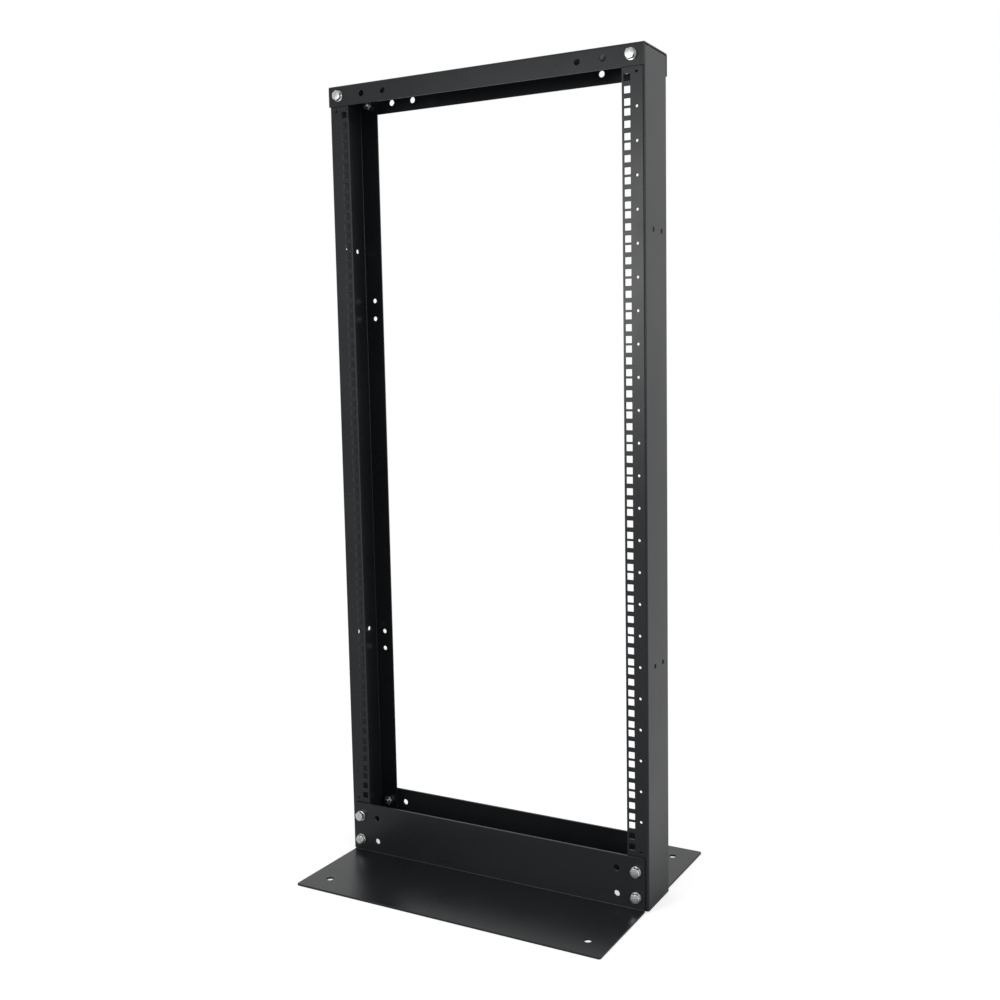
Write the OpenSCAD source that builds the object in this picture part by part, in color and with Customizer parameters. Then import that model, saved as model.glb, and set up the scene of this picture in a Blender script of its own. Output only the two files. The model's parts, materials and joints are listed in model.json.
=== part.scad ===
// Two post open frame rack: two punched C-channel posts between a top channel
// and two floor angles, bolted together. X runs across the rack, Y front to
// back, Z up. The origin is on the floor, under the middle of the posts.

/* [Rack] */
// Rack units between the feet and the top channel
rack_units = 24; // [6:1:45]
// Clear opening between the posts
opening_w = 450; // [440:1:600]
// Height of the lowest unit line over the floor
first_unit_z = 86.5; // [84:0.5:200]
// Height from the highest unit line to the top of the rack
top_margin = 36.7; // [34:0.1:80]

/* [Posts] */
// Depth of a post, front face to rear face
post_d = 75; // [60:1:160]
// Width of the front and rear flanges of a post
flange_w = 33; // [31:0.5:60]
// Sheet thickness of a post
post_wall = 2; // [1.5:0.1:3]
// Inner radius of every fold
bend_r = 1; // [0.5:0.1:2]
// Clearance under the posts, so that the rack stands on its feet
post_floor_gap = 2; // [1:0.5:10]
// Clearance between the posts and the web of the top channel
post_top_gap = 1.5; // [1:0.5:4]

/* [Unit holes] */
// Side of a square cage nut hole
square_hole = 9.5; // [7:0.1:10]
// Distance of the square holes' middle from the edge of the opening
square_setback = 7.55; // [6.5:0.05:9]
// Diameter of the small round hole that marks a unit line
marker_d = 4; // [2:0.5:6]
// Distance of the marker holes' middle from the edge of the opening
marker_setback = 21.5; // [18:0.5:24]

/* [Accessory holes] */
// Diameter of the accessory holes in the posts
accessory_d = 7; // [4:0.5:9]
// Spacing of the two holes of a pair
pair_spacing = 28; // [16:1:30]
// Distance of the front web hole from the front face of the post
web_pair_setback = 27; // [16:1:30]
// Height of the lower web pairs over the floor
web_pair_low = 350; // [120:1:400]
// Depth of the upper web pairs below the top of the rack
web_pair_top = 239; // [60:1:300]
// Distance of the middle of a rear pair from the nearer end of the rack
rear_pair_end = 329; // [120:1:400]

/* [Top channel] */
// Height of the flanges of the top channel
top_flange = 30; // [24:1:32]
// Sheet thickness of the top channel
top_wall = 2; // [1.5:0.1:3]
// Distance of the inner spare holes from the edge of the opening
top_inner_inset = 65; // [50:0.5:120]
// Distance of the outer spare holes from the edge of the opening
top_outer_inset = 26.5; // [10:0.5:40]

/* [Feet] */
// Distance of a foot's end from the outer face of the post
foot_end_inset = 5.5; // [0:0.5:8]
// Height of the upright flange of a foot
foot_h = 80; // [72:1:82]
// Reach of a foot from the face of the posts
foot_reach = 147; // [80:1:300]
// Sheet thickness of a foot
foot_wall = 3; // [2:0.1:4]
// Radius of the free corners of the feet
foot_corner_r = 3; // [1:0.5:10]
// Diameter of a floor anchor hole
anchor_d = 11; // [8:0.5:14]
// Distance of an anchor hole from the end and from the free edge of the foot
anchor_inset = 35; // [15:1:60]
// Distance of the spare holes in the flange from the edge of the opening
foot_spare_inset = 15.5; // [8:0.5:60]

/* [Bolts] */
// Diameter of the frame bolts
bolt_d = 8; // [6:1:8]
// Length of a bolt under its head
bolt_l = 16; // [16:1:25]
// Play of a bolt in the holes of the sheet
hole_play = 1; // [0.5:0.1:1.5]
// Distance of the bolts from the edge of the opening
bolt_setback = 15; // [12:0.5:17]
// Depth of the top bolts below the top of the rack
top_bolt_depth = 15; // [14:0.5:16]
// Height of the lower foot bolts over the floor
foot_bolt_z = 21; // [20:0.5:24]
// Height from the lower to the upper foot bolts
foot_bolt_rise = 38; // [28:1:42]
// Hexagon of bolt head and nut, across flats
hex_flats = 13; // [11:0.5:14]
// Height of a bolt head
head_h = 5.3; // [4:0.1:6]
// Height of a nut
nut_h = 6.5; // [5:0.1:7]
// Diameter of a washer
washer_d = 16; // [14:0.5:18]
// Thickness of a washer
washer_t = 1.6; // [1:0.1:2]

/* [Hidden] */
$fn = 32;
eps = 1;                                     // overshoot of every cut
unit_h = 44.45;                              // one rack unit
unit_hole_z = [unit_h / 7, unit_h / 2, unit_h * 6 / 7];  // hole centres above a unit line

rack_h = first_unit_z + rack_units * unit_h + top_margin;
rack_w = opening_w + 2 * flange_w;
post_h = rack_h - top_wall - post_top_gap - post_floor_gap;
top_d = post_d + 2 * top_wall;
hole_d = bolt_d + hole_play;
thread_play = 0.2;                           // nut and washer bore over the bolt
foot_l = rack_w - 2 * foot_end_inset;
bolt_columns = opening_w + 2 * bolt_setback;
foot_bolt_heights = [foot_bolt_z, foot_bolt_z + foot_bolt_rise];
top_bolt_z = rack_h - top_bolt_depth;

black = "#1c1d1e";
zinc = "#b9bdc0";

// Every bolted place: name, side (-1 left, 1 right), face (-1 front, 1 rear),
// height, and thickness of the sheet that is bolted on the post.
STATIONS = concat(
    [for (face = [-1, 1], side = [-1, 1])
        [str("top_", face_name(face), "_", side_name(side)),
         side, face, top_bolt_z, top_wall]],
    [for (face = [-1, 1], side = [-1, 1], i = [0, 1])
        [str("foot_", face_name(face), "_", side_name(side), "_", ["lower", "upper"][i]),
         side, face, foot_bolt_heights[i], foot_wall]]);

function side_name(side) = side < 0 ? "left" : "right";
function face_name(face) = face < 0 ? "front" : "rear";

// ---- folded sheet -------------------------------------------------------

// A quarter ring: the section of one fold, about the origin.
module fold(wall) {
    intersection() {
        difference() {
            circle(r = bend_r + wall);
            circle(r = bend_r);
        }
        translate([0, -bend_r - wall]) square(bend_r + wall);
    }
}

// Section of a folded sheet. It starts along +X with its outer side on y = 0
// and folds 90 degrees to the left after each of the outer sizes but the last.
module folded_section(sizes, wall, i = 0) {
    b = bend_r + wall;
    last = i == len(sizes) - 1;
    straight = sizes[i] - (i == 0 ? 0 : b) - (last ? 0 : b);
    square([straight, wall]);
    if (!last) {
        translate([straight, b]) fold(wall);
        translate([straight + b, b]) rotate(90) folded_section(sizes, wall, i + 1);
    }
}

// ---- holes --------------------------------------------------------------

// A round hole through a sheet that faces front or back, from y = 0 both ways.
module hole_y(x, z, d, wall) {
    translate([x, -wall - eps, z]) rotate([-90, 0, 0]) cylinder(d = d, h = 2 * (wall + eps));
}

// Round holes on both sides of the middle of a sheet at face_y.
module hole_row(face_y, spacing, heights, d, wall) {
    for (side = [-1, 1], z = heights)
        translate([0, face_y, 0]) hole_y(side * spacing / 2, z, d, wall);
}

// The punched holes of one post's front flange, with the flange at y = 0.
module unit_holes() {
    for (unit = [0:rack_units - 1], z = unit_hole_z)
        translate([opening_w / 2 + square_setback, 0, first_unit_z + unit * unit_h + z])
            cube([square_hole, 2 * (post_wall + eps), square_hole], center = true);
    for (line = [0:rack_units])
        hole_y(opening_w / 2 + marker_setback, first_unit_z + line * unit_h, marker_d, post_wall);
}

// Pairs of accessory holes in the web and in the rear flange of a post.
module accessory_holes() {
    for (z = [web_pair_low, rack_h - web_pair_top], i = [0, 1])
        translate([rack_w / 2 - post_wall - eps, web_pair_setback + i * pair_spacing - post_d / 2, z])
            rotate([0, 90, 0]) cylinder(d = accessory_d, h = post_wall + 2 * eps);
    for (middle = [rear_pair_end, rack_h - rear_pair_end], i = [-1, 1])
        translate([0, post_d / 2, 0])
            hole_y(bolt_columns / 2, middle + i * pair_spacing / 2, accessory_d, post_wall);
}

// ---- frame --------------------------------------------------------------

// The right post: a C-channel that is open towards the middle of the rack.
module post() {
    color(black)
    difference() {
        translate([opening_w / 2, -post_d / 2, post_floor_gap])
            linear_extrude(post_h) folded_section([flange_w, post_d, flange_w], post_wall);
        translate([0, -post_d / 2, 0]) unit_holes();
        accessory_holes();
        for (face = [-1, 1], z = concat(foot_bolt_heights, [top_bolt_z]))
            translate([0, face * post_d / 2, 0]) hole_y(bolt_columns / 2, z, hole_d, post_wall);
    }
}

// The channel that caps both posts, open downwards.
module top_channel() {
    color(black)
    difference() {
        translate([-rack_w / 2, top_d / 2, rack_h - top_flange])
            rotate([90, 0, 90]) rotate(90)
            linear_extrude(rack_w) folded_section([top_flange, top_d, top_flange], top_wall);
        for (face = [-1, 1], beside = [bolt_setback, -top_outer_inset, -top_inner_inset])
            hole_row(face * top_d / 2, opening_w + 2 * beside, [top_bolt_z], hole_d, top_wall);
    }
}

// What is cut from a square corner at the origin to round it. It lies in +X +Y.
module corner_cut(r, h) {
    difference() {
        translate([-eps, -eps, 0]) cube([r + eps, r + eps, h]);
        translate([r, r, 0]) cylinder(r = r, h = h);
    }
}

// The front foot: an angle with its plate on the floor, its flange on the posts.
module foot() {
    cut = foot_wall + 2 * eps;
    color(black)
    difference() {
        translate([-foot_l / 2, -post_d / 2 - foot_reach, 0])
            rotate([90, 0, 90])
            linear_extrude(foot_l) folded_section([foot_reach, foot_h], foot_wall);
        for (side = [0, 1]) mirror([side, 0, 0]) {
            translate([-foot_l / 2, -post_d / 2 - foot_reach, -eps]) corner_cut(foot_corner_r, cut);
            translate([-foot_l / 2, -post_d / 2 + eps, foot_h])
                rotate([90, 0, 0]) mirror([0, 1, 0]) corner_cut(foot_corner_r, cut);
            translate([foot_l / 2 - anchor_inset, -post_d / 2 - foot_reach + anchor_inset, -eps])
                cylinder(d = anchor_d, h = cut);
        }
        for (beside = [bolt_setback, -foot_spare_inset])
            hole_row(-post_d / 2, opening_w + 2 * beside, foot_bolt_heights, hole_d, foot_wall);
    }
}

// ---- fasteners ----------------------------------------------------------
// Each is built on its own axis, with z = 0 on the sheet's outer face and +z
// into the post.

// A hexagon with the conical chamfer of a turned head at its far end.
module hex_body(h) {
    chamfer_slope = tan(60);
    r_end = hex_flats * 0.475;
    intersection() {
        cylinder(d = hex_flats / cos(30), h = h, $fn = 6);
        cylinder(r1 = r_end + h * chamfer_slope, r2 = r_end, h = h);
    }
}

module bolt() {
    tip = bolt_d / 8;
    color(zinc) translate([0, 0, -washer_t]) {
        mirror([0, 0, 1]) hex_body(head_h);
        cylinder(d = bolt_d, h = bolt_l - tip);
        translate([0, 0, bolt_l - tip]) cylinder(d1 = bolt_d, d2 = bolt_d - 2 * tip, h = tip);
    }
}

module washer() {
    color(zinc) translate([0, 0, -washer_t])
        difference() {
            cylinder(d = washer_d, h = washer_t);
            translate([0, 0, -eps]) cylinder(d = bolt_d + thread_play, h = washer_t + 2 * eps);
        }
}

module nut(sheets) {
    color(zinc) translate([0, 0, sheets])
        difference() {
            hex_body(nut_h);
            translate([0, 0, -eps]) cylinder(d = bolt_d + thread_play, h = nut_h + 2 * eps);
        }
}

// Puts a fastener on its axis at a bolted place, turned by the angle at which
// it happened to come tight.
module at_station(s, turn = 0) {
    face_y = post_d / 2 + s[4];
    mirror([0, s[2] > 0 ? 1 : 0, 0])
        translate([s[1] * bolt_columns / 2, -face_y, s[3]])
        rotate([-90, 0, 0]) rotate(turn) children();
}

// ---- the rack -----------------------------------------------------------

mirror([1, 0, 0]) post();  // post_left
post();  // post_right
top_channel();
foot();  // foot_front
mirror([0, 1, 0]) foot();  // foot_rear

for (i = [0:len(STATIONS) - 1]) {
    s = STATIONS[i];
    at_station(s, i * 23 % 60) bolt();
    at_station(s) washer();
    at_station(s, i * 37 % 60) nut(s[4] + post_wall);
}
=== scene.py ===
"""Looks of the two post open frame rack: punched, folded and powder-coated
sheet, zinc plated bolts, and a white studio."""

import json
import math

import bmesh
import bpy
from mathutils import Matrix, Vector
from mathutils.geometry import delaunay_2d_cdt


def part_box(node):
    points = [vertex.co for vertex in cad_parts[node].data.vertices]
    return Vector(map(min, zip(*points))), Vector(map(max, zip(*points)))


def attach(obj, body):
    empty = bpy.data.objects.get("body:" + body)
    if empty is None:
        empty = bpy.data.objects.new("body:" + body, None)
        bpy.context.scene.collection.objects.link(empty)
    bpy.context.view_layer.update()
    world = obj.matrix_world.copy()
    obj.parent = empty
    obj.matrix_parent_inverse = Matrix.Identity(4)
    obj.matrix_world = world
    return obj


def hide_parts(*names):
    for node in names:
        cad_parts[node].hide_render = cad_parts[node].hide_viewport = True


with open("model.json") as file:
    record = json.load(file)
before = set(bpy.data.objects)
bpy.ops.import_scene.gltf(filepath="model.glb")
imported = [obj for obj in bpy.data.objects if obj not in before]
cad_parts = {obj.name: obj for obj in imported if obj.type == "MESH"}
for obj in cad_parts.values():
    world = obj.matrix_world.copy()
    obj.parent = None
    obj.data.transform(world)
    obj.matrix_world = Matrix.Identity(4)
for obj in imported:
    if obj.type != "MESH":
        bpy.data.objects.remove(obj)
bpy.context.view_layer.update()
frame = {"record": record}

record = frame["record"]
MM = 0.001

# ---- sizes in metres: those that the frame doesn't give ----------------------

UNIT = 44.45 * MM                   # one rack unit
UNIT_HOLES = (1 / 7, 1 / 2, 6 / 7)  # hole centres within a unit
SQUARE_HOLE = 9.5 * MM
SQUARE_CORNER_R = 0.4 * MM
MARKER_SETBACK = 21.5 * MM          # marker holes, from the edge of the opening
MARKER_R = 2 * MM
BOLT_HOLE_R = 4.5 * MM
POST_WALL = 2 * MM
FOOT_WALL = 3 * MM
BEND_R = 1 * MM                     # inner radius of every fold
FOOT_CORNER_R = 3 * MM
SAW_CORNER_R = 0.7 * MM             # corners of a plain cut strip
CUT_ROUNDING = 0.3 * MM             # rounding that the coat gives to a cut edge

BOLT_D = 8 * MM
BOLT_L = 16 * MM
THREAD_PITCH = 1.25 * MM
THREAD_DEPTH = 0.6 * THREAD_PITCH
THREAD_TIP_R = BOLT_D / 2 - THREAD_DEPTH * 1.15  # flat end of the thread
BORE_R = BOLT_D / 2 + 0.1 * MM      # of a washer and of a nut
NUT_MOUTH_R = BORE_R + 0.5 * MM     # widened end of a nut's bore
NUT_MOUTH_DEPTH = 0.4 * MM
HEX_FLATS = 13 * MM
HEX_END_R = HEX_FLATS * 0.475       # flat end of a hexagon, inside its chamfer
HEX_CHAMFER = math.radians(60)      # angle from the axis to the chamfer
HEX_ROUNDING = 0.12 * MM
COLLAR_R = HEX_FLATS * 0.485        # round seat under a bolt head
COLLAR_H = 0.35 * MM
WASHER_ROUNDING = 0.2 * MM

# ---- fineness of the meshes ---------------------------------------------------

BEND_STEPS = 8
ROUNDING_STEPS = 3
SQUARE_CORNER_STEPS = 2
MARKER_STEPS = 16
ANCHOR_STEPS = 36
THREAD_STEPS = 28
HEX_STEPS = 72
WASHER_STEPS = 56
MERGE = 0.002 * MM                  # a fastener's points closer than this are one
SHARP = math.radians(35)            # edges of a fastener stay sharp above this

# ---- sizes and places from the frame ---------------------------------------------

openings = {o["name"]: o["box_m"] for o in record["physics"]["openings"]}
mounts = {m["name"]: m for m in record["mounts"]}

post_lo, post_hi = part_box("post_right")
top_lo, top_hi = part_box("top_channel")
foot_lo, foot_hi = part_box("foot_front")
POST_DEPTH = post_hi.y - post_lo.y
FLANGE_W = post_hi.x - post_lo.x
TOP_WALL = top_hi.y - post_hi.y

unit_hole_box = openings["right_lowest_unit_hole_1"]
SQUARE_X = (unit_hole_box[0][0] + unit_hole_box[1][0]) / 2
FIRST_LINE = (unit_hole_box[0][2] + unit_hole_box[1][2]) / 2 - UNIT * UNIT_HOLES[0]
bay = openings["equipment_bay"]
RACK_UNITS = int((bay[1][2] - bay[0][2]) / UNIT)

# Bolted places, by the end of their bolts' names, in the order of the record.
STATIONS = [s["node"][len("bolt_"):] for s in record["subparts"] if s["node"].startswith("bolt_")]


def middle(node):
    """Centre of a node's box."""
    lo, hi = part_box(node)
    return (lo + hi) / 2


def length_y(node):
    """Length of a node's box from front to rear."""
    lo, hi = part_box(node)
    return hi.y - lo.y


def pattern(name):
    """Hole centres of a bolt pattern mount."""
    mount = mounts[name]
    across = [k for k in range(3) if abs(mount["axis"][k]) < 0.5]
    steps = [mount["dims"].get(key, 0) * MM / 2 for key in ("spacing_x_mm", "spacing_y_mm")]
    signs = [(-1, 1) if step else (0,) for step in steps]
    points = []
    for a in signs[0]:
        for b in signs[1]:
            point = Vector(mount["pos_m"])
            point[across[0]] += a * steps[0]
            point[across[1]] += b * steps[1]
            points.append(point)
    return points


def radius_of(name):
    """Hole radius of a bolt pattern mount."""
    return mounts[name]["dims"]["hole_r_mm"] * MM


# ---- loops of the flat pattern -------------------------------------------------
# A sheet is meshed as its flat pattern (u across the folds, v along the strip,
# w into the sheet from its outer side) and then folded. A shape is a function
# that gives a loop's points, anticlockwise, for the length it is to grow by.


def arc(centre, radius, start, end, steps):
    """Points of an arc, both ends included, angles in quarter turns."""
    points = []
    for k in range(steps + 1):
        angle = math.pi / 2 * (start + (end - start) * k / steps)
        points.append(Vector((centre[0] + radius * math.cos(angle),
                              centre[1] + radius * math.sin(angle))))
    return points


def round_hole(centre, radius, steps=28):
    """The shape of a round hole."""
    return lambda grow: arc(centre, radius + grow, 0, 4, steps)[:-1]


def rounded_rectangle(centre, half, radius, steps=3, cuts=()):
    """The shape of a rectangle with round corners, and with extra points at
    `cuts` along its lower and upper side."""
    def at(grow):
        loop = []
        corners = ((-1, -1, 2), (1, -1, 3), (1, 1, 0), (-1, 1, 1))
        for sx, sy, quarter in corners:
            corner = (centre[0] + sx * (half[0] - radius), centre[1] + sy * (half[1] - radius))
            loop += arc(corner, radius + grow, quarter, quarter + 1, steps)
            if quarter in (2, 0):
                side = centre[1] + sy * (half[1] + grow)
                loop += [Vector((u, side)) for u in (cuts if quarter == 2 else reversed(cuts))]
        return loop
    return at


# ---- folding -------------------------------------------------------------------
# A strip's section is given by the outer sizes of its straights, each a quarter
# turn on from the one before.


def straights_of(sizes, wall):
    """Developed start and length of each straight of a folded strip."""
    outer = BEND_R + wall
    last = len(sizes) - 1
    spans, start = [], 0
    for i, size in enumerate(sizes):
        length = size - (outer if i > 0 else 0) - (outer if i < last else 0)
        spans.append((start, length))
        start += length + outer * math.pi / 2
    return spans


def developed(sizes, wall, strip, distance):
    """Flat pattern u of a point on a straight, by its distance from the corner
    or edge where the straight starts, measured on the outer side."""
    return straights_of(sizes, wall)[strip][0] + distance - (BEND_R + wall if strip > 0 else 0)


def fold_at(u, sizes, wall):
    """Where developed length u lies on the outer side of the folded section,
    and the directions along the sheet and into it."""
    outer = BEND_R + wall
    place, heading = Vector((0, 0)), 0.0
    for i, (start, length) in enumerate(straights_of(sizes, wall)):
        along = Vector((math.cos(heading), math.sin(heading)))
        into = Vector((-along.y, along.x))
        if u <= start + length + 1e-9 or i == len(sizes) - 1:
            return place + along * (u - start), along, into
        centre = place + along * length + into * outer
        turn = min((u - start - length) / outer, math.pi / 2)
        along = Vector((math.cos(heading + turn), math.sin(heading + turn)))
        into = Vector((-along.y, along.x))
        place = centre - into * outer
        if turn < math.pi / 2 - 1e-6:
            return place, along, into
        heading += math.pi / 2


def fold_lines(sizes, wall):
    """Developed lengths at which the folds are cut into facets."""
    bend = (BEND_R + wall) * math.pi / 2
    lines = []
    for start, length in straights_of(sizes, wall)[:-1]:
        lines += [start + length + bend * k / BEND_STEPS for k in range(BEND_STEPS + 1)]
    return lines


def frame_of(section_x, section_y, along, origin):
    """Matrix that takes a folded section and its strip to the row frame."""
    matrix = Matrix((section_x, section_y, along)).transposed().to_4x4()
    matrix.translation = origin
    return matrix


# ---- folded sheet --------------------------------------------------------------


def flat_loops(loops):
    """The points of the outline and the holes in millimetres, one loop after
    the other, and each loop's indices into them."""
    points, polygons = [], []
    for loop in loops:
        polygons.append(list(range(len(points), len(points) + len(loop))))
        points += [p / MM for p in loop]
    return points, polygons


def flat_triangles(name, shapes, cuts, length):
    """Triangles of the flat pattern, cut along the folds, as indices into the
    points of all its loops."""
    points, polygons = flat_loops([shape(sign * CUT_ROUNDING) for shape, sign in shapes])
    lower = {round(points[i].x, 4): i for i in polygons[0] if points[i].y < length / MM / 2}
    upper = {round(points[i].x, 4): i for i in polygons[0] if points[i].y > length / MM / 2}
    folds = [(lower[round(u / MM, 4)], upper[round(u / MM, 4)]) for u in cuts]
    flat, _, triangles, origin, _, inside = delaunay_2d_cdt(points, folds, polygons, 1, 1e-5, True)
    assert len(flat) == len(points), f"{name}: a loop of the flat pattern crosses another"
    return [[origin[i][0] for i in triangle]
            for triangle, owners in zip(triangles, inside) if owners == [0]]


class Sheet:
    """Points, normals, edge marks and faces of a folded sheet."""

    def __init__(self, sizes, wall, place):
        self.sizes, self.wall, self.place = sizes, wall, place
        self.verts, self.normals, self.marks, self.faces = [], [], [], []

    def add(self, spot, w, away, out, mark):
        """A point at depth w, its normal along `away` in the flat pattern and
        by `out` across it."""
        base, forward, into = fold_at(spot.x, self.sizes, self.wall)
        section = base + into * w
        normal = forward * away[0] + into * out
        normal = self.place.to_3x3() @ Vector((normal.x, normal.y, away[1]))
        self.verts.append(self.place @ Vector((section.x, section.y, spot.y)))
        self.normals.append(normal.normalized())
        self.marks.append(mark)
        return len(self.verts) - 1

    def rim_row(self, wide, tight, k, inner):
        """Row k of a loop's rounded cut edge, on the sheet's outer or inner
        side: 0 lies on the face, ROUNDING_STEPS on the cut."""
        angle = math.pi / 2 * k / ROUNDING_STEPS
        depth = CUT_ROUNDING * (1 - math.cos(angle))
        w, out = (self.wall - depth, math.cos(angle)) if inner else (depth, -math.cos(angle))
        mark = min(1.0, 2.0 * k / ROUNDING_STEPS)
        row = []
        for a, b in zip(wide, tight):
            away = (b - a).normalized() * math.sin(angle)
            row.append(self.add(a.lerp(b, math.sin(angle)), w, away, out, mark))
        return row

    def rim(self, shape, sign):
        """The cut edge around a loop. Gives its rows on the two faces."""
        wide, tight = shape(sign * CUT_ROUNDING), shape(0)
        steps = range(ROUNDING_STEPS + 1)
        rows = [self.rim_row(wide, tight, k, False) for k in steps]
        rows += [self.rim_row(wide, tight, k, True) for k in reversed(steps)]
        for one, two in zip(rows, rows[1:]):
            for i in range(len(one)):
                j = (i + 1) % len(one)
                quad = (one[i], one[j], two[j], two[i])
                self.faces.append(quad if sign > 0 else quad[::-1])
        return rows[0], rows[-1]

    def piece(self, name):
        """The object, linked to the scene."""
        if self.place.determinant() < 0:
            self.faces = [list(reversed(face)) for face in self.faces]
        mesh = bpy.data.meshes.new(name)
        mesh.from_pydata(self.verts, [], self.faces)
        mark = mesh.attributes.new("cut_edge", "FLOAT", "POINT")
        mark.data.foreach_set("value", self.marks)
        mesh.shade_smooth()
        mesh.normals_split_custom_set_from_vertices(self.normals)
        piece = bpy.data.objects.new(name, mesh)
        bpy.context.scene.collection.objects.link(piece)
        return piece


def folded_sheet(name, sizes, wall, length, corner_r, holes, place):
    """A folded strip of the given outer sizes, with holes given as shapes in
    the flat pattern. place takes the section and the strip's length to the
    row frame."""
    half = (sum(straights_of(sizes, wall)[-1]) / 2, length / 2)
    cuts = fold_lines(sizes, wall)
    outline = rounded_rectangle(half, half, corner_r, cuts=cuts)
    shapes = [(outline, -1)] + [(hole, 1) for hole in holes]

    sheet = Sheet(sizes, wall, place)
    outer, inner = [], []
    for shape, sign in shapes:
        on_outer, on_inner = sheet.rim(shape, sign)
        outer += on_outer
        inner += on_inner
    for corners in flat_triangles(name, shapes, cuts, length):
        sheet.faces.append([outer[i] for i in corners])
        sheet.faces.append([inner[i] for i in reversed(corners)])
    return sheet.piece(name)


# ---- the frame's pieces ----------------------------------------------------------
# The left post and the rear foot are mirrored by the matrix that places them.


def bolt_holes(face, to_flat):
    """Holes for the frame bolts in the right post's front or rear flange."""
    spots = [middle("bolt_" + station) for station in STATIONS]
    return [round_hole(to_flat(spot), BOLT_HOLE_R) for spot in spots
            if spot.x > 0 and spot.y * face > 0]


def post(side):
    """A C-channel post: square unit holes and marker holes in front, pairs of
    accessory holes in the web and the rear flange."""
    name = "post_left" if side < 0 else "post_right"
    sizes = (FLANGE_W, POST_DEPTH, FLANGE_W)

    def front(point):
        return developed(sizes, POST_WALL, 0, point[0] - post_lo.x), point[2] - post_lo.z

    def web(point):
        return developed(sizes, POST_WALL, 1, point[1] - post_lo.y), point[2] - post_lo.z

    def rear(point):
        return developed(sizes, POST_WALL, 2, post_hi.x - point[0]), point[2] - post_lo.z

    holes = bolt_holes(-1, front) + bolt_holes(1, rear)
    half = (SQUARE_HOLE / 2, SQUARE_HOLE / 2)
    for unit in range(RACK_UNITS):
        for share in UNIT_HOLES:
            centre = front((SQUARE_X, 0, FIRST_LINE + (unit + share) * UNIT))
            holes.append(rounded_rectangle(centre, half, SQUARE_CORNER_R, SQUARE_CORNER_STEPS))
    for line in range(RACK_UNITS + 1):
        centre = front((post_lo.x + MARKER_SETBACK, 0, FIRST_LINE + line * UNIT))
        holes.append(round_hole(centre, MARKER_R, MARKER_STEPS))
    holes += [round_hole(web(p), radius_of("right_web_holes")) for p in pattern("right_web_holes")]
    for pairs in ("rear_upper_holes", "rear_lower_holes"):
        holes += [round_hole(rear(p), radius_of(pairs)) for p in pattern(pairs) if p.x > 0]
    place = frame_of((side, 0, 0), (0, 1, 0), (0, 0, 1), (side * post_lo.x, post_lo.y, post_lo.z))
    length = post_hi.z - post_lo.z
    return folded_sheet(name + "_sheet", sizes, POST_WALL, length, SAW_CORNER_R, holes, place)


def top_channel():
    """The channel that caps the posts, open downwards."""
    flange = top_hi.z - top_lo.z
    sizes = (flange, top_hi.y - top_lo.y, flange)
    spots = [middle("bolt_" + s) for s in STATIONS if s.startswith("top_")]
    for name in ("top_front_inner_holes", "top_front_outer_holes",
                 "top_rear_inner_holes", "top_rear_outer_holes"):
        spots += pattern(name)
    holes = []
    for spot in spots:
        strip, distance = (2, top_hi.z - spot.z) if spot.y < 0 else (0, spot.z - top_lo.z)
        centre = (developed(sizes, TOP_WALL, strip, distance), spot.x - top_lo.x)
        holes.append(round_hole(centre, BOLT_HOLE_R))
    place = frame_of((0, 0, 1), (0, -1, 0), (1, 0, 0), (top_lo.x, top_hi.y, top_lo.z))
    length = top_hi.x - top_lo.x
    return folded_sheet("top_channel_sheet", sizes, TOP_WALL, length, SAW_CORNER_R, holes, place)


def foot(face):
    """A floor angle: its plate on the floor, its flange against the posts."""
    name = "foot_front" if face < 0 else "foot_rear"
    sizes = (foot_hi.y - foot_lo.y, foot_hi.z)

    def flange(point):
        return developed(sizes, FOOT_WALL, 1, point.z), point.x - foot_lo.x

    def plate(point):
        return developed(sizes, FOOT_WALL, 0, point.y - foot_lo.y), point.x - foot_lo.x

    spots = [middle("bolt_" + s) for s in STATIONS if s.startswith("foot_front_")]
    spots += pattern("foot_front_spare_holes")
    holes = [round_hole(flange(p), BOLT_HOLE_R) for p in spots]
    anchors = [p for p in pattern("floor_anchors") if p.y < 0]
    holes += [round_hole(plate(p), radius_of("floor_anchors"), ANCHOR_STEPS) for p in anchors]
    place = frame_of((0, -face, 0), (0, 0, 1), (1, 0, 0), (foot_lo.x, -face * foot_lo.y, 0))
    length = foot_hi.x - foot_lo.x
    return folded_sheet(name + "_sheet", sizes, FOOT_WALL, length, FOOT_CORNER_R, holes, place)


# ---- rows of a turned body ---------------------------------------------------------
# A fastener is built on its own axis: z = 0 on the sheet's outer face, +z into
# the post. A row is a function that gives its radius and z for an angle.


def hex_radius(angle):
    """Distance from the axis to the side of the hexagon."""
    sixth = math.pi / 3
    return HEX_FLATS / 2 / math.cos((angle + sixth / 2) % sixth - sixth / 2)


def ring(radius, z):
    """A circle."""
    return lambda angle: (radius, z)


def hex_side(z):
    """A hexagon."""
    return lambda angle: (hex_radius(angle), z)


def hex_row(z, direction, inset):
    """A hexagon on the chamfer of the end at z, set back from the side."""
    def row(angle):
        radius = hex_radius(angle) - inset
        return radius, z - direction * (radius - HEX_END_R) / math.tan(HEX_CHAMFER)
    return row


def hex_shoulder(z, direction):
    """Where the chamfer of the end at z has run out into the side."""
    chamfer = hex_row(z, direction, 0)
    return lambda angle: (hex_radius(angle), chamfer(angle)[1] - direction * HEX_ROUNDING)


def hex_end(z, direction):
    """Rows from the flat end at z over the chamfer to the hexagon's side.
    direction is 1 where the end looks along +z, and -1 where it looks back."""
    return [ring(HEX_END_R - HEX_ROUNDING, z),
            ring(HEX_END_R + HEX_ROUNDING * 0.7, z - direction * HEX_ROUNDING * 0.35),
            hex_row(z, direction, HEX_ROUNDING), hex_shoulder(z, direction)]


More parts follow.
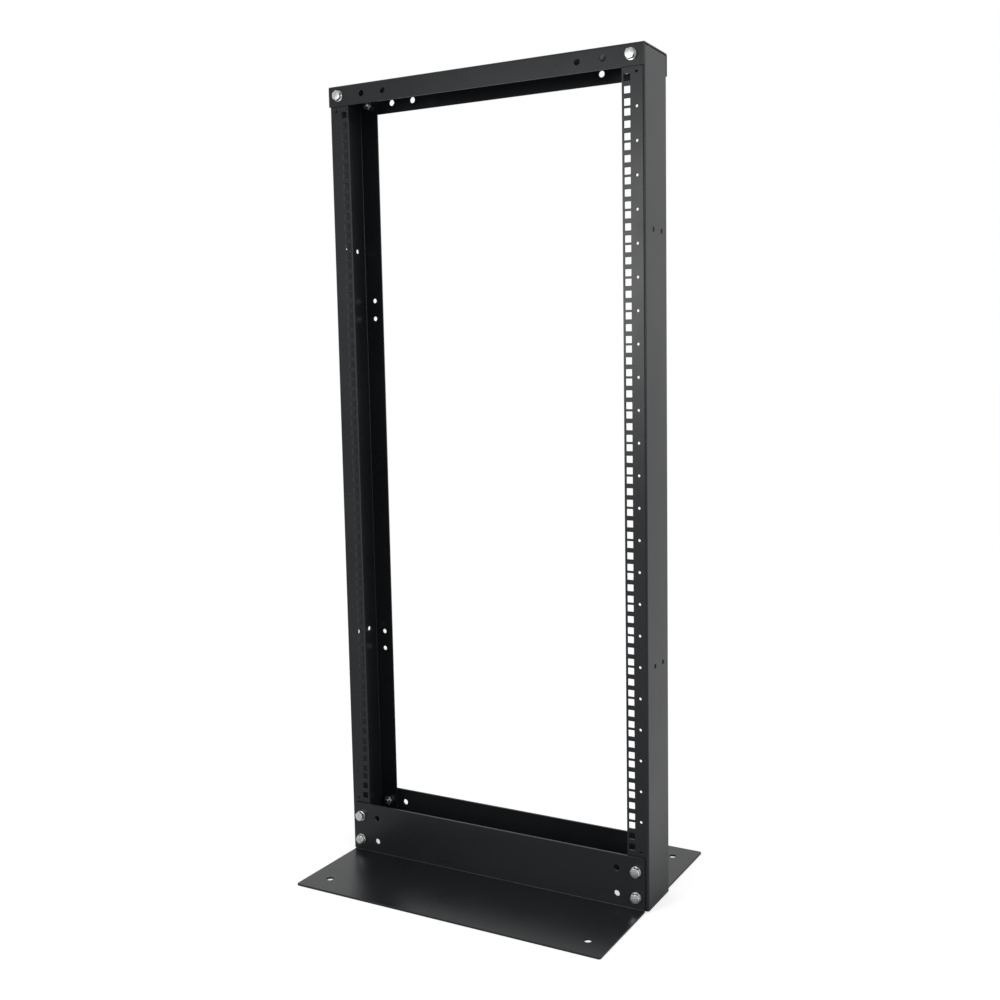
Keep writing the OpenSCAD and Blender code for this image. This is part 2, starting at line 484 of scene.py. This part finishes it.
def turned(rows, steps):
    """Points and faces of a body of rows. A first or last row whose radius is
    nought closes it by a point."""
    verts, faces, rings = [], [], []
    for row in rows:
        if row(0)[0] == 0:
            verts.append(Vector((0, 0, row(0)[1])))
            rings.append([len(verts) - 1] * steps)
            continue
        loop = []
        for k in range(steps):
            angle = 2 * math.pi * k / steps
            radius, z = row(angle)
            verts.append(Vector((radius * math.cos(angle), radius * math.sin(angle), z)))
            loop.append(len(verts) - 1)
        rings.append(loop)
    for one, two in zip(rings, rings[1:]):
        for i in range(steps):
            j = (i + 1) % steps
            face = [one[i], one[j], two[j], two[i]]
            faces.append([v for n, v in enumerate(face) if v not in face[:n]])
    return verts, faces


# ---- fasteners -----------------------------------------------------------------------


def thread(end):
    """Points and faces of a helical thread from z = 0 to its chamfered end."""
    crest = BOLT_D / 2
    root = crest - THREAD_DEPTH
    profile = ((0, root), (0.12, root), (0.46, crest), (0.58, crest))  # share of a pitch, radius
    turns = math.ceil(end / THREAD_PITCH) + 1
    total = turns * THREAD_STEPS
    verts, faces = [], []
    for step in range(total + 1):
        angle = 2 * math.pi * step / THREAD_STEPS
        for share, radius in profile:
            z = min(max((step / THREAD_STEPS - 1 + share) * THREAD_PITCH, 0), end)
            radius = min(radius, THREAD_TIP_R + (end - z))
            verts.append(Vector((radius * math.cos(angle), radius * math.sin(angle), z)))
    for step in range(total):
        for part in range(3):
            a = step * 4 + part
            faces.append((a, a + 4, a + 5, a + 1))
        if step + THREAD_STEPS < total:
            a, b = step * 4 + 3, (step + THREAD_STEPS) * 4
            faces.append((a, a + 4, b + 4, b))
    return verts, faces


def station_matrix(station, turn):
    """From a fastener's own axis to its bolted place."""
    washer_lo, washer_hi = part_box("washer_" + station)
    spot = middle("washer_" + station)
    face = -1 if spot.y < 0 else 1
    spot.y = washer_hi.y if face < 0 else washer_lo.y
    axis = Vector((0, -face, 0))
    side = Vector((1, 0, 0))
    matrix = Matrix((side, axis.cross(side), axis)).transposed().to_4x4()
    matrix.translation = spot
    return matrix @ Matrix.Rotation(turn, 4, "Z")


def fastener(name, parts, matrix):
    """One piece from lists of points and faces, with doubles closed."""
    bm = bmesh.new()
    for verts, faces in parts:
        made = [bm.verts.new(v) for v in verts]
        for face in faces:
            if len(set(face)) > 2:
                bm.faces.new([made[i] for i in face])
    bmesh.ops.remove_doubles(bm, verts=bm.verts, dist=MERGE)
    bmesh.ops.dissolve_degenerate(bm, edges=bm.edges, dist=MERGE)
    loose = [v for v in bm.verts if not v.link_faces]
    bmesh.ops.delete(bm, geom=loose, context="VERTS")
    bmesh.ops.recalc_face_normals(bm, faces=bm.faces)
    bmesh.ops.transform(bm, matrix=matrix, verts=bm.verts)
    mesh = bpy.data.meshes.new(name)
    bm.to_mesh(mesh)
    bm.free()
    mesh.shade_smooth()
    mesh.set_sharp_from_angle(angle=SHARP)
    piece = bpy.data.objects.new(name, mesh)
    bpy.context.scene.collection.objects.link(piece)
    return piece


def bolt(station, turn):
    """A bolt: head with a round seat, plain shank and thread."""
    seat = -length_y("washer_" + station)
    head_h = length_y("bolt_" + station) - BOLT_L
    end = BOLT_L + seat
    under_head_r = BOLT_D / 2 * 0.9
    overlap = 0.05 * MM
    rows = [ring(0, seat - head_h)] + hex_end(seat - head_h, -1)
    rows += [hex_side(seat - COLLAR_H), ring(COLLAR_R, seat - COLLAR_H),
             ring(COLLAR_R, seat), ring(under_head_r, seat)]
    shank = [ring(BOLT_D / 2, seat), ring(BOLT_D / 2, overlap)]
    tip = [ring(THREAD_TIP_R, end), ring(0, end)]
    parts = [turned(rows, HEX_STEPS), thread(end), turned(tip, THREAD_STEPS),
             turned(shank, THREAD_STEPS)]
    return fastener("hex_bolt_" + station, parts, station_matrix(station, turn))


def washer(station):
    """A flat washer with rounded edges."""
    lo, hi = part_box("washer_" + station)
    thick, outer, soft = hi.y - lo.y, (hi.x - lo.x) / 2, WASHER_ROUNDING
    rows = [ring(BORE_R, -soft), ring(BORE_R, -thick + soft), ring(BORE_R + soft, -thick),
            ring(outer - soft, -thick), ring(outer - soft * 0.3, -thick + soft * 0.3),
            ring(outer, -thick + soft), ring(outer, -soft), ring(outer - soft, 0),
            ring(BORE_R + soft, 0), ring(BORE_R, -soft)]
    parts = [turned(rows, WASHER_STEPS)]
    return fastener("flat_washer_" + station, parts, station_matrix(station, 0))


def nut(station, turn):
    """A nut, chamfered on both ends, its bore widened at both ends."""
    lo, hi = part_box("nut_" + station)
    washer_lo, washer_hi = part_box("washer_" + station)
    near = (lo.y - washer_hi.y) if middle("nut_" + station).y < 0 else (washer_lo.y - hi.y)
    far = near + length_y("nut_" + station)
    bore = ring(BORE_R, far - NUT_MOUTH_DEPTH)
    rows = [bore, ring(NUT_MOUTH_R, far)] + hex_end(far, 1)
    rows += [hex_shoulder(near, -1), hex_row(near, -1, HEX_ROUNDING), ring(HEX_END_R, near),
             ring(NUT_MOUTH_R, near), ring(BORE_R, near + NUT_MOUTH_DEPTH), bore]
    parts = [turned(rows, HEX_STEPS)]
    return fastener("hex_nut_" + station, parts, station_matrix(station, turn))


# ---- materials -------------------------------------------------------------------------


def grey(value, warm=0.0):
    """A grey, tinted warm, or cool where warm is below nought."""
    return (value * (1 + warm), value, value * (1 - warm), 1.0)


class Nodes:
    """Short hand for building the node tree of a material or a world."""

    def __init__(self, owner, output_kind):
        owner.use_nodes = True
        self.owner = owner
        self.tree = owner.node_tree
        self.tree.nodes.clear()
        self.output = self.add(output_kind)

    def feed(self, socket, value):
        """Links a socket to an output, or sets its value."""
        if isinstance(value, bpy.types.NodeSocket):
            self.tree.links.new(value, socket)
        else:
            socket.default_value = value

    def add(self, kind, inputs=(), **settings):
        node = self.tree.nodes.new(kind)
        for key, value in settings.items():
            setattr(node, key, value)
        for key, value in dict(inputs).items():
            self.feed(node.inputs[key], value)
        return node

    def calc(self, operation, *values):
        return self.add("ShaderNodeMath", enumerate(values), operation=operation).outputs[0]

    def noise(self, where, scale, detail=2.0, roughness=0.5):
        return self.add("ShaderNodeTexNoise", {"Vector": where, "Scale": scale, "Detail": detail,
                                               "Roughness": roughness}).outputs["Fac"]

    def spread(self, value, low, high, start=0.3, end=0.7, kind="LINEAR"):
        """Maps start..end of a value to low..high."""
        return self.add("ShaderNodeMapRange", {"Value": value, "From Min": start, "From Max": end,
                                               "To Min": low, "To Max": high},
                        interpolation_type=kind).outputs["Result"]

    def blend(self, share, one, two):
        """A colour between two others."""
        mix = self.add("ShaderNodeMix", data_type="RGBA")
        inputs = (("Factor", "VALUE", share), ("A", "RGBA", one), ("B", "RGBA", two))
        for name, kind, value in inputs:
            self.feed(next(s for s in mix.inputs if s.name == name and s.type == kind), value)
        return next(s for s in mix.outputs if s.type == "RGBA")

    def bump(self, height, distance, strength, normal=None):
        """A normal bent by a height, and by another normal where given."""
        inputs = {"Height": height, "Distance": distance, "Strength": strength}
        if normal is not None:
            inputs["Normal"] = normal
        return self.add("ShaderNodeBump", inputs).outputs["Normal"]

    def mirrored(self, path):
        """One for rays that come off a glossy or through a clear surface."""
        return self.calc("MAXIMUM", path["Is Glossy Ray"], path["Is Transmission Ray"])

    def finish(self, shader):
        """Ends the tree with a shader and gives back the material or world."""
        self.feed(self.output.inputs["Surface"], shader.outputs[0])
        return self.owner


def material_nodes(name):
    return Nodes(bpy.data.materials.new(name), "ShaderNodeOutputMaterial")


def powder_coat():
    """Black powder coat: fine orange peel, a faint mottle, and a lighter,
    duller coat on the cut edges."""
    n = material_nodes("black_powder_coat")
    where = n.add("ShaderNodeTexCoord").outputs["Object"]
    mottle = n.noise(where, scale=9.0, detail=5.0, roughness=0.6)
    grain = n.noise(where, scale=900.0)
    peel = n.noise(where, scale=420.0, detail=1.5)
    wave = n.noise(where, scale=14.0, detail=1.0)
    cut = n.add("ShaderNodeAttribute", attribute_name="cut_edge").outputs["Fac"]
    colour = n.blend(n.spread(mottle, 0.0, 1.0), grey(0.0100, -0.16), grey(0.0125, -0.16))
    colour = n.blend(n.spread(grain, 0.0, 0.35), colour, grey(0.020, -0.12))
    colour = n.blend(n.spread(cut, 0.0, 0.5, start=0.0, end=1.0), colour, grey(0.030, -0.05))
    duller = n.spread(cut, 0.0, 0.08, start=0.0, end=1.0)
    rough = n.calc("ADD", n.spread(mottle, 0.26, 0.34), duller)
    normal = n.bump(wave, distance=0.6 * MM, strength=0.25)
    normal = n.bump(peel, distance=0.05 * MM, strength=0.35, normal=normal)
    normal = n.bump(grain, distance=0.02 * MM, strength=0.35, normal=normal)
    return n.finish(n.add("ShaderNodeBsdfPrincipled", {"Base Color": colour, "Roughness": rough,
                                                       "IOR": 1.40, "Normal": normal}))


def zinc_plate():
    """Bright zinc: fine scratches, cloudy passivation, duller patches."""
    n = material_nodes("zinc_plated_steel")
    where = n.add("ShaderNodeTexCoord").outputs["Object"]
    cloud = n.noise(where, scale=260.0, detail=4.0, roughness=0.6)
    stretched = n.add("ShaderNodeMapping", {"Vector": where, "Scale": (1.0, 1.0, 0.08)})
    scratch = n.noise(stretched.outputs["Vector"], scale=4200.0, detail=3.0, roughness=0.6)
    dull, bright = (0.60, 0.61, 0.63, 1), (0.78, 0.78, 0.77, 1)
    colour = n.blend(n.spread(cloud, 0.0, 1.0), dull, bright)
    rough = n.spread(cloud, 0.22, 0.40)
    normal = n.bump(scratch, distance=0.015 * MM, strength=0.5)
    return n.finish(n.add("ShaderNodeBsdfPrincipled", {"Base Color": colour, "Roughness": rough,
                                                       "Metallic": 1.0, "Normal": normal}))


# ---- studio ----------------------------------------------------------------------------


def studio_floor():
    """Pale floor: it takes the shadow, and the white of the backdrop is added
    to what is seen directly. In the coat it looks lighter towards the rear and
    beside the rack; between the posts it isn't lightened, a painted shadow."""
    seen_white, mirrored_white = 0.60, 0.45
    n = material_nodes("studio_floor")
    path = n.add("ShaderNodeLightPath").outputs
    place = n.add("ShaderNodeSeparateXYZ", {0: n.add("ShaderNodeTexCoord").outputs["Object"]}).outputs
    # painted shadow: between the posts the floor's glow seen in the coat is left out, in place of the
    # rack's contact shadow
    outside_painted_shadow = n.spread(n.calc("ABSOLUTE", place["X"]), 0.0, 1.0, start=post_hi.x, end=post_hi.x + 0.1)
    rearward = n.spread(place["Y"], 0.0, mirrored_white, start=-0.4, end=0.2)
    added = n.calc("MULTIPLY", n.calc("MULTIPLY", n.mirrored(path), outside_painted_shadow), rearward)
    added = n.calc("MULTIPLY_ADD", path["Is Camera Ray"], seen_white, added)
    lit = n.add("ShaderNodeBsdfDiffuse", {"Color": grey(0.80)})
    glow = n.add("ShaderNodeEmission", {"Color": grey(1.0), "Strength": added})
    return n.finish(n.add("ShaderNodeAddShader", {0: lit.outputs[0], 1: glow.outputs[0]}))


def make_floor():
    """A wide floor just under the feet."""
    size, below = 30.0, 0.3 * MM
    mesh = bpy.data.meshes.new("floor")
    corners = [(x * size, y * size, -below) for x, y in ((-1, -1), (1, -1), (1, 1), (-1, 1))]
    mesh.from_pydata(corners, [], [(0, 1, 2, 3)])
    mesh.materials.append(studio_floor())
    floor = bpy.data.objects.new("floor", mesh)
    bpy.context.scene.collection.objects.link(floor)


def make_world():
    """White where it is seen, a plain level of light where it lights, and in
    the coat a room that is darker in front of the rack than behind it."""
    white, plain, front_of_room = 1.0, 0.5, 0.35
    n = Nodes(bpy.data.worlds.new("studio"), "ShaderNodeOutputWorld")
    path = n.add("ShaderNodeLightPath").outputs
    direction = n.add("ShaderNodeTexCoord").outputs["Generated"]
    rearward = n.add("ShaderNodeSeparateXYZ", {0: direction}).outputs["Y"]
    room = n.spread(rearward, front_of_room, white, start=-0.85, end=-0.15, kind="SMOOTHSTEP")
    lighting = n.add("ShaderNodeMix", {"Factor": n.mirrored(path), "A": plain, "B": room})
    level = n.add("ShaderNodeMix", {"Factor": path["Is Camera Ray"], "A": lighting.outputs[0],
                                    "B": white})
    background = n.add("ShaderNodeBackground", {"Color": grey(1.0), "Strength": level.outputs[0]})
    bpy.context.scene.world = n.finish(background)


def softbox(name, place, aim, size, radiance):
    """An area lamp of the given radiance, which the camera doesn't see."""
    light = bpy.data.lights.new(name, "AREA")
    light.shape = "RECTANGLE"
    light.size, light.size_y = size
    light.energy = radiance * math.pi * size[0] * size[1]
    lamp = bpy.data.objects.new(name, light)
    lamp.location = place
    lamp.rotation_euler = (Vector(aim) - Vector(place)).to_track_quat("-Z", "Y").to_euler()
    lamp.visible_camera = False
    bpy.context.scene.collection.objects.link(lamp)


def make_camera():
    """The photo's camera, as fitted to the rack's holes and edges."""
    place = (0.8889, -1.4862, 0.7738)
    azimuth, pitch, roll = math.radians(27.36), math.radians(-6.14), math.radians(-0.716)
    data = bpy.data.cameras.new("camera")
    data.sensor_width, data.lens = 36.0, 42.1
    data.shift_x, data.shift_y = -0.0689, -0.0113
    camera = bpy.data.objects.new("camera", data)
    turn = Matrix.Rotation(azimuth, 4, "Z") @ Matrix.Rotation(math.pi / 2 + pitch, 4, "X")
    turn = turn @ Matrix.Rotation(roll, 4, "Z")
    camera.matrix_world = Matrix.Translation(place) @ turn
    bpy.context.scene.collection.objects.link(camera)
    bpy.context.scene.camera = camera


make_camera()
make_world()
make_floor()
softbox("key_softbox", place=(-0.93, -2.65, 1.12), aim=(0, 0, 0.6), size=(1.1, 1.0), radiance=6.2)
softbox("fill_softbox", place=(2.6, -1.1, 1.15), aim=(0, 0, 0.6), size=(0.9, 1.1), radiance=4.6)
bpy.context.scene.view_settings.view_transform = "Standard"

# ---- the rack ----------------------------------------------------------------------------

black, zinc = powder_coat(), zinc_plate()


def dress(piece, material, node):
    """Gives a piece its material and its place in the frame."""
    piece.data.materials.append(material)
    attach(piece, "root")
    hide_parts(node)


dress(post(-1), black, "post_left")
dress(post(1), black, "post_right")
dress(top_channel(), black, "top_channel")
dress(foot(-1), black, "foot_front")
dress(foot(1), black, "foot_rear")
for number, station in enumerate(STATIONS):
    # the wrench leaves each head and nut at an angle of its own
    bolt_turn = math.radians(number * 23 % 60)
    nut_turn = math.radians(number * 37 % 60)
    dress(bolt(station, bolt_turn), zinc, "bolt_" + station)
    dress(washer(station), zinc, "washer_" + station)
    dress(nut(station, nut_turn), zinc, "nut_" + station)
